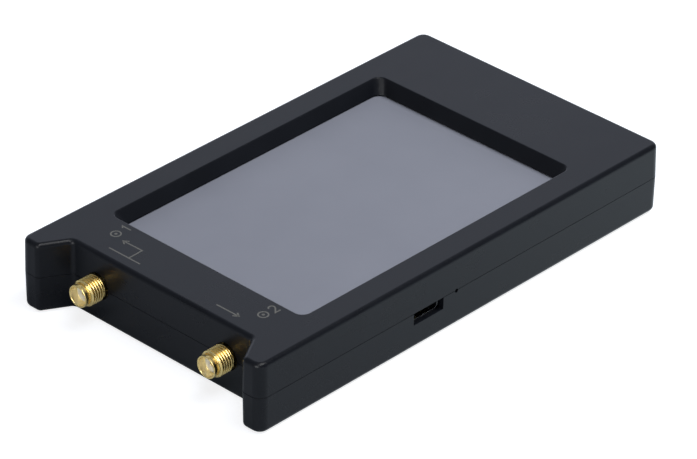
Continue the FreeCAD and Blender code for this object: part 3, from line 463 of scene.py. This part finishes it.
@dataclass(frozen=True)
class StudioPaper(Finish):
    """White paper of the studio floor. It reads as white to the eye and keeps the object's shadow.

    Eye_lift is the glow that the eye gets on top of the lamps' light. Mirror_lift is what reflections get at
    the two distances of the shade's reach from the spot of painted shade, in millimetres; the glow is dimmest
    near the spot.
    """

    tint: str
    glow: str
    eye_lift: float
    mirror_lift: Flat
    painted_shade_spot: Point
    painted_shade_reach: Flat
    dullness: float = 0.9

    def dress(self, tree: bpy.types.NodeTree) -> bpy.types.Node:
        """Lay out matt paper, brighter to seen rays, and to mirrored ones the further from its spot of
        painted shade.

        Args:
            tree: the material's node tree.

        Returns:
            The shader.
        """
        path = add_node(tree, "LightPath")
        mirrored = add_node(tree, "Math", {"operation": "MAXIMUM"},
                            {0: path.outputs["Is Glossy Ray"], 1: path.outputs["Is Transmission Ray"]})
        eye = add_node(tree, "Math", {"operation": "MULTIPLY", 1: self.eye_lift},
                       {0: path.outputs["Is Camera Ray"]})
        place = add_node(tree, "TexCoord")
        # Painted shade: the glow that reflections see is dimmed near this spot off the jack end.
        spot = tuple(c * MM for c in self.painted_shade_spot)
        away = add_node(tree, "VectorMath", {"operation": "DISTANCE", 1: spot}, {0: place.outputs["Object"]})
        low, high = self.mirror_lift
        near, far = (reach * MM for reach in self.painted_shade_reach)
        glow = add_node(tree, "MapRange", {"From Min": near, "From Max": far, "To Min": low, "To Max": high},
                        {"Value": away.outputs["Value"]})
        lift = add_node(tree, "Math", {"operation": "MULTIPLY_ADD"},
                        {0: mirrored.outputs[0], 1: glow.outputs[0], 2: eye.outputs[0]})
        colour = add_node(tree, "Mix", {"data_type": "RGBA", MIX_FIRST: linear(self.glow),
                                        MIX_SECOND: linear("#ffffff")},
                          {"Factor": path.outputs["Is Camera Ray"]})
        return add_node(tree, "BsdfPrincipled",
                        {"Base Color": linear(self.tint), "Roughness": self.dullness,
                         "Specular IOR Level": 0.0},
                        {"Emission Color": colour.outputs[MIXED], "Emission Strength": lift.outputs[0]})


# Paper, calendered: matt white, with painted shade that makes it dimmer in reflections off the jack end,
# where the studio's shade falls.
PAPER = StudioPaper("Studio_paper", "#a9aeb8", "#dff0f4", eye_lift=0.82, mirror_lift=(0.06, 0.71),
                    painted_shade_spot=(-110.0, 45.0, 0.0), painted_shade_reach=(58.0, 212.0))


# ---------------------------------------------------------------- shapes


@dataclass
class Shape:
    """A mesh being drawn in millimetres.

    Sharpest_turn keeps a stroke from running out to a long point where it turns sharply.
    """

    mesh: bmesh.types.BMesh = field(default_factory=bmesh.new)
    sharpest_turn: ClassVar[float] = 0.4

    def lathe(self, centre: Point, axis: Point, stations: Sequence[tuple[float, Radius]],
              steps: int = 96, closed: bool = False) -> None:
        """Turn a profile about an axis.

        Args:
            centre: the point on the axis that distances are counted from.
            axis: the direction of the axis.
            stations: distance along the axis and radius there. A radius can be a function of the
                distance and the angle, as for a thread or a hexagon.
            steps: how many facets go round.
            closed: whether the last station joins the first, as on a sleeve.
        """
        forward = Vector(axis).normalized()
        side = forward.orthogonal().normalized()
        up = forward.cross(side)
        rings = []
        for along, radius in stations:
            ring = []
            for step in range(steps):
                angle = math.tau * step / steps
                reach = radius(along, angle) if callable(radius) else radius
                out = side * math.cos(angle) + up * math.sin(angle)
                ring.append(self.mesh.verts.new(Vector(centre) + forward * along + out * reach))
            rings.append(ring)
        for low, high in zip(rings, rings[1:] + rings[:1] if closed else rings[1:]):
            for step in range(steps):
                after = (step + 1) % steps
                self.mesh.faces.new((low[step], low[after], high[after], high[step]))
        if not closed:
            self.mesh.faces.new(rings[0][::-1])
            self.mesh.faces.new(rings[-1])

    def block(self, low: Point, high: Point, chamfer: float = 0.0) -> None:
        """Add a block with chamfered edges.

        Args:
            low: its lowest corner.
            high: its highest corner.
            chamfer: width of the chamfers, 0 for none.
        """
        made = bmesh.ops.create_cube(self.mesh, size=1.0)["verts"]
        middle, size = (Vector(low) + Vector(high)) / 2, Vector(high) - Vector(low)
        for vert in made:
            vert.co = Vector(c * s for c, s in zip(vert.co, size)) + middle
        if chamfer:
            edges = list({edge for vert in made for edge in vert.link_edges})
            bmesh.ops.bevel(self.mesh, geom=edges, offset=chamfer, segments=2, affect="EDGES", profile=0.5)

    def ribbon(self, points: Sequence[Flat], width: float, level: float, thickness: float) -> None:
        """Draw a stroke of even width on a level face.

        Args:
            points: the stroke's middle line in X and Y.
            width: the stroke's width.
            level: height of the face that it lies on.
            thickness: thickness of its film.
        """
        lefts, rights = [], []
        last = len(points) - 1
        for number, point in enumerate(points):
            here = Vector(point)
            before = Vector(points[number - 1]) if number else None
            after = Vector(points[number + 1]) if number < last else None
            ways = [(here - before).normalized() if before else None,
                    (after - here).normalized() if after else None]
            known = [way for way in ways if way is not None]
            way = sum(known, Vector((0.0, 0.0))).normalized()
            spread = 1.0 / max(self.sharpest_turn, way.dot(known[0]))
            aside = Vector((-way.y, way.x)) * width / 2 * spread
            lefts.append(here + aside)
            rights.append(here - aside)
        outline = lefts + rights[::-1]
        floor = [self.mesh.verts.new((p.x, p.y, level)) for p in outline]
        roof = [self.mesh.verts.new((p.x, p.y, level + thickness)) for p in outline]
        count = len(outline)
        for step in range(last):
            far = count - 2 - step
            self.mesh.faces.new((roof[step], roof[step + 1], roof[far], roof[far + 1]))
            self.mesh.faces.new((floor[step + 1], floor[step], floor[far + 1], floor[far]))
        for step in range(count):
            after = (step + 1) % count
            self.mesh.faces.new((floor[step], floor[after], roof[after], roof[step]))

    def piece(self, name: str, finish: Finish, body: str, crease: float = 35.0,
              inside: Finish | None = None) -> bpy.types.Object:
        """Turn the drawing into an object that rides on a body.

        Args:
            name: the object's name.
            finish: its finish.
            body: the body that carries it.
            crease: faces that meet at more than this many degrees keep a sharp edge.
            inside: the finish of faces that are marked 1, if any are.

        Returns:
            The object.
        """
        bmesh.ops.recalc_face_normals(self.mesh, faces=self.mesh.faces)
        data = bpy.data.meshes.new(name)
        self.mesh.to_mesh(data)
        self.mesh.free()
        data.transform(Matrix.Scale(MM, 4))
        data.shade_smooth()
        data.set_sharp_from_angle(angle=math.radians(crease))
        for coat in (finish, inside):
            if coat:
                data.materials.append(coat.material())
        made = bpy.data.objects.new(name, data)
        bpy.context.scene.collection.objects.link(made)
        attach(made, body)
        LOG.info("%s: %d faces of %s on %s", name, len(data.polygons), finish.name, body)
        return made


def corners(node: str) -> tuple[Vector, Vector]:
    """Give a solid's lowest and highest corner in millimetres."""
    low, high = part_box(node)
    return low / MM, high / MM


# ---------------------------------------------------------------- sub-assemblies


@dataclass
class Assembly:
    """Solids that belong together. A subclass names their finishes and adds its own pieces."""

    frame: dict[str, Any]
    finishes: ClassVar[dict[str, Finish]] = {}

    def coats(self) -> dict[str, Finish]:
        """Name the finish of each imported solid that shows."""
        return self.finishes

    def build(self) -> None:
        """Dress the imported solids, then add what they lack."""
        for node, finish in self.coats().items():
            solid = self.frame["nodes"][node]
            for holder in solid.material_slots:
                holder.material = finish.material()
            LOG.info("%s: packed solid in %s", node, finish.name)
        self.add_pieces()

    def add_pieces(self) -> None:
        """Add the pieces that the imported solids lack, none unless a subclass says so."""


@dataclass
class Case(Assembly):
    """Two moulded shells, the marks printed on the top, and the screws that hold them together.

    Flag and stem place a 1's strokes as shares of its height and width, and turn is the sweep of a 2's
    bowl in degrees. Flank is how fast a thread's crest falls off within one turn.
    """

    stroke: float = 0.36
    ink: float = 0.012
    digit_height: float = 2.6
    digit_width: float = 1.5
    digit_places: tuple[tuple[str, Flat], ...] = (("1", (-47.0, 21.5)), ("2", (-47.5, -24.4)))
    one_flag: Flat = (0.2, 0.78)
    one_stem: float = 0.6
    two_turn: tuple[int, int] = (165, -45)
    arc_step: int = 15
    sign_gap: float = 2.4
    jack_sign_radius: float = 1.15
    jack_sign_dot: float = 0.4
    reflected_way: tuple[tuple[Flat, ...], ...] = (
        ((-54.4, 19.7), (-54.35, 10.1)), ((-50.3, 19.4), (-50.2, 13.7), (-54.2, 13.6)),
        ((-49.5, 18.4), (-50.3, 19.55), (-51.1, 18.4)))
    through_way: tuple[tuple[Flat, ...], ...] = (
        ((-54.1, -13.2), (-54.05, -19.7)), ((-54.85, -18.7), (-54.05, -19.85), (-53.25, -18.7)))
    head_radius: float = 2.2
    head_height: float = 1.4
    head_edge: float = 0.05
    dome: float = 0.45
    dome_angles: tuple[int, ...] = (30, 45, 60, 75, 90)
    socket_flats: float = 1.45
    socket_depth: float = 0.75
    shank_radius: float = 1.2
    shank_length: float = 9.6
    thread_pitch: float = 0.8
    thread_depth: float = 0.3
    thread_flank: float = 3.2
    thread_stations: int = 8
    facets: int = 48
    finishes: ClassVar[dict[str, Finish]] = {
        "front_shell": CASE_ABS, "back_shell": CASE_ABS, "screw_inserts": INSERT_BRASS}

    def add_pieces(self) -> None:
        """Print the top face and put in the screws."""
        self.print_marks()
        self.add_screws()

    def print_marks(self) -> None:
        """Print each port's jack sign and number, and the arrows of the two measuring ways."""
        top = corners("front_shell")[1].z
        ink = Shape()

        def draw(points: Sequence[Flat]) -> None:
            """Print one stroke on the top face."""
            ink.ribbon(points, self.stroke, top, self.ink)

        for digit, (x, y) in self.digit_places:
            for stroke in self.digit_strokes(digit):
                draw([(x + across, y + up) for across, up in stroke])
            middle = (x - self.sign_gap, y + self.digit_height / 2)
            draw(self.arc(middle, self.jack_sign_radius, 0, 360))
            draw(self.arc(middle, self.jack_sign_dot / 2, 0, 360))
        for stroke in self.reflected_way + self.through_way:
            draw(stroke)
        ink.piece("port_marks", PRINT_INK, "case")

    def arc(self, middle: Flat, radius: float, first: int, last: int) -> list[Flat]:
        """Give points along an arc.

        Args:
            middle: the arc's centre.
            radius: its radius.
            first: angle of its first point in degrees.
            last: angle of its last point in degrees.

        Returns:
            The points, one at every arc_step degrees.
        """
        step = self.arc_step if last > first else -self.arc_step
        turns = range(first, last + (1 if step > 0 else -1), step)
        return [(middle[0] + radius * math.cos(math.radians(a)),
                 middle[1] + radius * math.sin(math.radians(a))) for a in turns]

    def digit_strokes(self, digit: str) -> list[list[Flat]]:
        """Give a digit as strokes from its lower left corner.

        Args:
            digit: "1" or "2".

        Returns:
            Strokes as runs of points.
        """
        width, height = self.digit_width, self.digit_height
        if digit == "1":
            (flag_x, flag_y), stem = self.one_flag, width * self.one_stem
            return [[(width * flag_x, height * flag_y), (stem, height), (stem, 0.0)]]
        bowl = width / 2
        turn = self.arc((bowl, height - bowl), bowl, *self.two_turn)
        return [[*turn, (0.0, 0.0), (width, 0.0)]]

    def add_screws(self) -> None:
        """Replace the plain screws with domed hexagon-socket ones with a thread."""
        low, high = corners("case_screws")
        radius, flats = self.head_radius, self.socket_flats / 2

        def hexagon(_along: float, angle: float) -> float:
            """Radius of the hexagon socket at an angle."""
            return flats / math.cos((angle % math.radians(60)) - math.radians(30))

        def thread(along: float, angle: float) -> float:
            """Radius of the thread, which runs out towards the screw's end.

            Args:
                along: distance from the top of the head.
                angle: angle round the axis.

            Returns:
                The radius there.
            """
            turn = ((along - self.head_height) / self.thread_pitch - angle / math.tau) % 1.0
            rise = max(0.0, 1.0 - abs(turn - 0.5) * self.thread_flank)
            left = min(1.0, (self.head_height + self.shank_length - along) / self.thread_pitch)
            return self.shank_radius - self.thread_depth * (1.0 - rise * left)

        dome = [(self.dome * (1 - math.cos(math.radians(a))), radius * math.sin(math.radians(a)))
                for a in self.dome_angles]
        neck, edge = self.head_height, self.head_edge
        count = int(self.shank_length / self.thread_pitch * self.thread_stations)
        shank = [(neck + self.shank_length * step / count, thread) for step in range(1, count + 1)]
        stations: list[tuple[float, Radius]] = [
            (self.socket_depth, hexagon), (edge, hexagon), *dome, (neck - edge, radius),
            (neck, radius - edge), (neck, self.shank_radius), *shank]
        screws = Shape()
        for x in (low.x + radius, high.x - radius):
            for y in (low.y + radius, high.y - radius):
                screws.lathe((x, y, low.z), (0, 0, 1), stations, steps=self.facets)
        made = screws.piece("case_screws_turned", SCREW_STEEL, "case")
        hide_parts("case_screws")


@dataclass
class Display(Assembly):
    """Touch panel, gasket, display cell with its driver, backlight, foam and ribbon."""

    finishes: ClassVar[dict[str, Finish]] = {
        "touch_panel": TOUCH_FILM, "display_gasket": FOAM, "lcd_cell": POLARISER,
        "driver_chip": CHIP_EPOXY, "backlight_tray": TRAY_STEEL, "light_guide": LIGHT_GUIDE,
        "display_foam": FOAM, "display_flex": RIBBON, "flex_connector": CONNECTOR_LCP}


@dataclass
class SignalJack(Assembly):
    """Threaded coaxial jack: a gold-plated barrel with flange and legs, insulator and contact.

    Crest is how broad the thread's top is within one turn, and flank how fast it falls off. Leg_rises are
    the legs' heights over the axis.
    """

    number: int = 1
    nose_radius: float = 2.7
    nose_length: float = 0.85
    undercut_radius: float = 2.45
    undercut_length: float = 0.55
    thread_radius: float = 3.175
    thread_depth: float = 0.42
    thread_pitch: float = 0.706
    thread_turns: float = 6.0
    thread_stations: int = 14
    crest: float = 1.24
    flank: float = 2.65
    relief_radius: float = 2.75
    barrel_length: float = 8.0
    flange_half: float = 3.175
    flange_thickness: float = 1.6
    bore_radius: float = 2.3
    bore_depth: float = 1.9
    inner_radius: float = 2.115
    chamfer: float = 0.08
    crease: float = 30.0
    leg: float = 1.1
    leg_root: float = 0.1
    leg_rises: Flat = (0.15, -2.15)

    def coats(self) -> dict[str, Finish]:
        """Name the finish of this jack's insulator and contact."""
        return {f"sma_dielectric_{self.number}": PTFE, f"sma_contact_{self.number}": GOLD_PLATE}

    def thread(self, along: float, angle: float) -> float:
        """Radius of the right-hand thread.

        Args:
            along: distance from the nose.
            angle: angle round the axis, right-handed about +X.

        Returns:
            The radius there.
        """
        start = self.nose_length + self.undercut_length
        length = self.thread_pitch * self.thread_turns
        turn = ((along - start) / self.thread_pitch - angle / math.tau) % 1.0
        rise = min(1.0, max(0.0, self.crest - abs(turn - 0.5) * self.flank))
        rise = rise * rise * (3 - 2 * rise)
        ends = min(1.0, (along - start) / (0.5 * self.thread_pitch),
                   (start + length - along) / (0.5 * self.thread_pitch))
        return self.thread_radius - self.thread_depth * (1.0 - rise * max(0.0, ends))

    def add_pieces(self) -> None:
        """Replace the jack's body with one that has a true helical thread."""
        low, high = corners(f"sma_body_{self.number}")
        centre = (low.x, (low.y + high.y) / 2, (low.z + high.z) / 2)
        start = self.nose_length + self.undercut_length
        end = start + self.thread_pitch * self.thread_turns
        count = int(self.thread_turns * self.thread_stations)
        threads = [(start + (end - start) * step / count, self.thread) for step in range(count + 1)]
        chamfer, half = self.chamfer, self.flange_half

        def square(_along: float, angle: float) -> float:
            """Radius of the square flange at an angle."""
            return half / max(abs(math.cos(angle)), abs(math.sin(angle)))

        back = self.barrel_length + self.flange_thickness
        stations: list[tuple[float, Radius]] = [
            (chamfer, self.bore_radius), (0.0, self.bore_radius + chamfer),
            (0.0, self.nose_radius - chamfer), (chamfer, self.nose_radius),
            (self.nose_length - chamfer, self.nose_radius),
            (self.nose_length, self.nose_radius - chamfer), (self.nose_length, self.undercut_radius),
            (start, self.undercut_radius), *threads, (end, self.relief_radius),
            (self.barrel_length, self.relief_radius), (self.barrel_length, square), (back, square),
            (back, self.inner_radius), (self.bore_depth, self.inner_radius),
            (self.bore_depth, self.bore_radius)]
        body = Shape()
        body.lathe(centre, (1, 0, 0), stations, closed=True)
        # Faces inside the bore take the paler gold: painted light that brightens the bore.
        for face in body.mesh.faces:
            spans = [(vert.co - Vector(centre)).yz.length for vert in face.verts]
            face.material_index = int(max(spans) < self.bore_radius + self.chamfer / 2)
        for side in (-1, 1):
            for rise in self.leg_rises:
                y = centre[1] + side * (half - self.leg / 2)
                z = centre[2] + rise
                body.block((low.x + back - self.leg_root, y - self.leg / 2, z - self.leg / 2),
                           (high.x, y + self.leg / 2, z + self.leg / 2), chamfer)
        made = body.piece(f"jack_barrel_{self.number}", GOLD_PLATE, "case", self.crease, inside=GOLD_BORE_PAINTED_PALE)
        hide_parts(f"sma_body_{self.number}")


@dataclass
class ChargingPort(Assembly):
    """Drawn shell of the charging port, its tongue and the contacts on the tongue."""

    contacts: int = 12
    pitch: float = 0.5
    width: float = 0.26
    length: float = 3.4
    thickness: float = 0.02
    blade: float = 0.7
    setback: float = 0.35
    finishes: ClassVar[dict[str, Finish]] = {"usb_shell": PORT_STEEL, "usb_tongue": CONNECTOR_LCP}

    def add_pieces(self) -> None:
        """Lay the gold contacts on both faces of the tongue."""
        low, high = corners("usb_tongue")
        middle, level = (low.x + high.x) / 2, (low.z + high.z) / 2
        front = low.y + self.setback
        strips = Shape()
        for number in range(self.contacts):
            x = middle + (number - (self.contacts - 1) / 2) * self.pitch
            for side in (-1, 1):
                face = level + side * self.blade / 2
                heights = sorted((face, face + side * self.thickness))
                strips.block((x - self.width / 2, front, heights[0]),
                             (x + self.width / 2, front + self.length, heights[1]))
        strips.piece("usb_contacts", GOLD_PLATE, "case")


@dataclass
class MainBoard(Assembly):
    """Circuit board with its chips, shield and status light."""

    finishes: ClassVar[dict[str, Finish]] = {
        "main_board": BOARD_MASK, "processor": CHIP_EPOXY, "rf_chips": CHIP_EPOXY,
        "small_parts": CERAMIC, "shield_frame": SHIELD_TIN, "shield_lid": SHIELD_TIN,
        "status_led": LED_EPOXY}


@dataclass
class Battery(Assembly):
    """Pouch cell with its protection board, leads, socket and tape."""

    finishes: ClassVar[dict[str, Finish]] = {
        "battery_cell": POUCH, "battery_board": POLYIMIDE, "battery_tape": FOAM,
        "battery_socket": SOCKET_LCP, "battery_leads": LEAD_RUBBER}


@dataclass
class Controls(Assembly):
    """Slide switch and jog lever in the +Y side."""

    finishes: ClassVar[dict[str, Finish]] = {
        "power_switch_body": PORT_STEEL, "power_switch_slider": KNOB_ACETAL,
        "jog_switch_body": PORT_STEEL, "jog_carrier": SOCKET_LCP, "jog_lever": KNOB_ACETAL}


# ---------------------------------------------------------------- studio


class Reach(Enum):
    """Which of a surface's two answers a lamp wakes: its body colour and its gloss."""

    BOTH = (True, True)
    BODY = (True, False)
    GLOSS = (False, True)


@dataclass(frozen=True)
class Softbox:
    """A square studio lamp with a diffuser, placed and sized in metres."""

    name: str
    place: Point
    size: float
    watts: float
    reach: Reach = Reach.BOTH

    def hang(self, target: Point) -> None:
        """Hang the lamp and turn it to the object.

        Args:
            target: the point that it faces, in metres.
        """
        lamp = bpy.data.lights.new(self.name, "AREA")
        lamp.shape, lamp.size, lamp.energy = "SQUARE", self.size, self.watts
        made = bpy.data.objects.new(self.name, lamp)
        made.location = self.place
        made.visible_diffuse, made.visible_glossy = self.reach.value
        made.rotation_euler = (Vector(target) - Vector(self.place)).to_track_quat("-Z", "Y").to_euler()
        bpy.context.scene.collection.objects.link(made)


@dataclass
class Studio:
    """Paper floor, soft lamps, a pale room and the camera.

    Places and the floor are metres, lens and sensor millimetres. Backdrop is the room's light on the side of
    backdrop_way, shade its light elsewhere, and room the share of it that falls on matt surfaces.
    """

    floor_size: float = 3.0
    floor_drop: float = 0.0002
    backdrop_way: Point = (0.7, 0.7, 0.1)
    backdrop_edge: Flat = (0.62, 0.96)
    backdrop: float = 1.22
    shade: float = 0.26
    room: float = 0.5
    room_tint: str = "#e5ebfb"
    lens: float = 231.7
    sensor: float = 36.0
    clip: Flat = (0.05, 20.0)
    camera_place: Point = (-0.62276, -0.58705, 0.53830)
    camera_right: Point = (0.69053, -0.72321, 0.01136)
    camera_down: Point = (-0.37489, -0.37129, -0.84947)
    camera_ahead: Point = (0.61856, 0.58233, -0.52752)
    target: Point = (0.0, 0.0, 0.008)
    lamps: tuple[Softbox, ...] = (
        Softbox("camera_side_softbox", (-0.38, -0.36, 0.76), size=0.24, watts=1.5),
        Softbox("jack_end_fill", (-0.8, -0.22, 0.14), size=0.24, watts=1.0),
        Softbox("jack_end_glint", (-0.82, -0.2, 0.32), size=0.42, watts=2.6, reach=Reach.GLOSS),
        Softbox("overhead_softbox", (0.06, -0.24, 0.8), size=0.36, watts=2.6),
        Softbox("far_end_key", (0.45, -0.24, 0.74), size=0.2, watts=4.2, reach=Reach.BODY),
    )

    def build(self) -> None:
        """Set up the floor, the lamps, the room and the camera."""
        self.lay_floor()
        for lamp in self.lamps:
            lamp.hang(self.target)
        self.paint_room()
        self.set_camera()
        bpy.context.scene.view_settings.view_transform = "Standard"

    def lay_floor(self) -> None:
        """Lay the paper floor just under the object."""
        half = self.floor_size / 2
        data = bpy.data.meshes.new("studio_floor")
        data.from_pydata([(x, y, -self.floor_drop) for x, y in
                          ((-half, -half), (half, -half), (half, half), (-half, half))], [], [(0, 1, 2, 3)])
        data.materials.append(PAPER.material())
        floor = bpy.data.objects.new("studio_floor", data)
        bpy.context.scene.collection.objects.link(floor)

    def paint_room(self) -> None:
        """Light the room from the pale backdrop beyond the object, and show it white to the eye."""
        world = bpy.data.worlds.new("Studio_room")
        bpy.context.scene.world = world
        world.use_nodes = True
        tree = world.node_tree
        tree.nodes.clear()
        path = add_node(tree, "LightPath")
        way = add_node(tree, "TexCoord")
        facing = add_node(tree, "VectorMath", {"operation": "DOT_PRODUCT", 1: self.backdrop_way},
                          {0: way.outputs["Generated"]})
        low, high = self.backdrop_edge
        studio = add_node(tree, "MapRange", {"From Min": low, "From Max": high, "To Min": self.shade,
                                             "To Max": self.backdrop}, {"Value": facing.outputs["Value"]})
        mirrored = add_node(tree, "Math", {"operation": "MAXIMUM"},
                            {0: path.outputs["Is Glossy Ray"], 1: path.outputs["Is Transmission Ray"]})
        share = add_node(tree, "MapRange", {"To Min": self.room, "To Max": 1.0},
                         {"Value": mirrored.outputs[0]})
        lit = add_node(tree, "Math", {"operation": "MULTIPLY"},
                       {0: studio.outputs[0], 1: share.outputs[0]})
        strength = add_node(tree, "Mix", {LEVEL_SECOND: 1.0},
                            {"Factor": path.outputs["Is Camera Ray"], LEVEL_FIRST: lit.outputs[0]})
        room = add_node(tree, "Background", {"Color": linear(self.room_tint)},
                        {"Strength": strength.outputs[LEVEL]})
        add_node(tree, "OutputWorld", None, {"Surface": room.outputs[0]})

    def set_camera(self) -> None:
        """Stand the camera off the jack end, above the charging port's side."""
        data = bpy.data.cameras.new("studio_camera")
        data.lens, data.sensor_width = self.lens, self.sensor
        data.clip_start, data.clip_end = self.clip
        camera = bpy.data.objects.new("studio_camera", data)
        turn = Matrix((self.camera_right, [-c for c in self.camera_down],
                       [-c for c in self.camera_ahead])).transposed()
        camera.matrix_world = Matrix.Translation(self.camera_place) @ turn.to_4x4()
        bpy.context.scene.collection.objects.link(camera)
        bpy.context.scene.camera = camera


def main() -> None:
    """Build every sub-assembly in order, then the studio."""
    logging.basicConfig(level=logging.INFO, format="%(message)s")
    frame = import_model()
    assemblies: list[Assembly] = [
        Case(frame), Display(frame), SignalJack(frame, number=1), SignalJack(frame, number=2),
        ChargingPort(frame), MainBoard(frame), Battery(frame), Controls(frame)]
    for assembly in assemblies:
        LOG.info("-- %s", type(assembly).__name__)
        assembly.build()
    Studio().build()


if __name__ == "__main__":
    main()
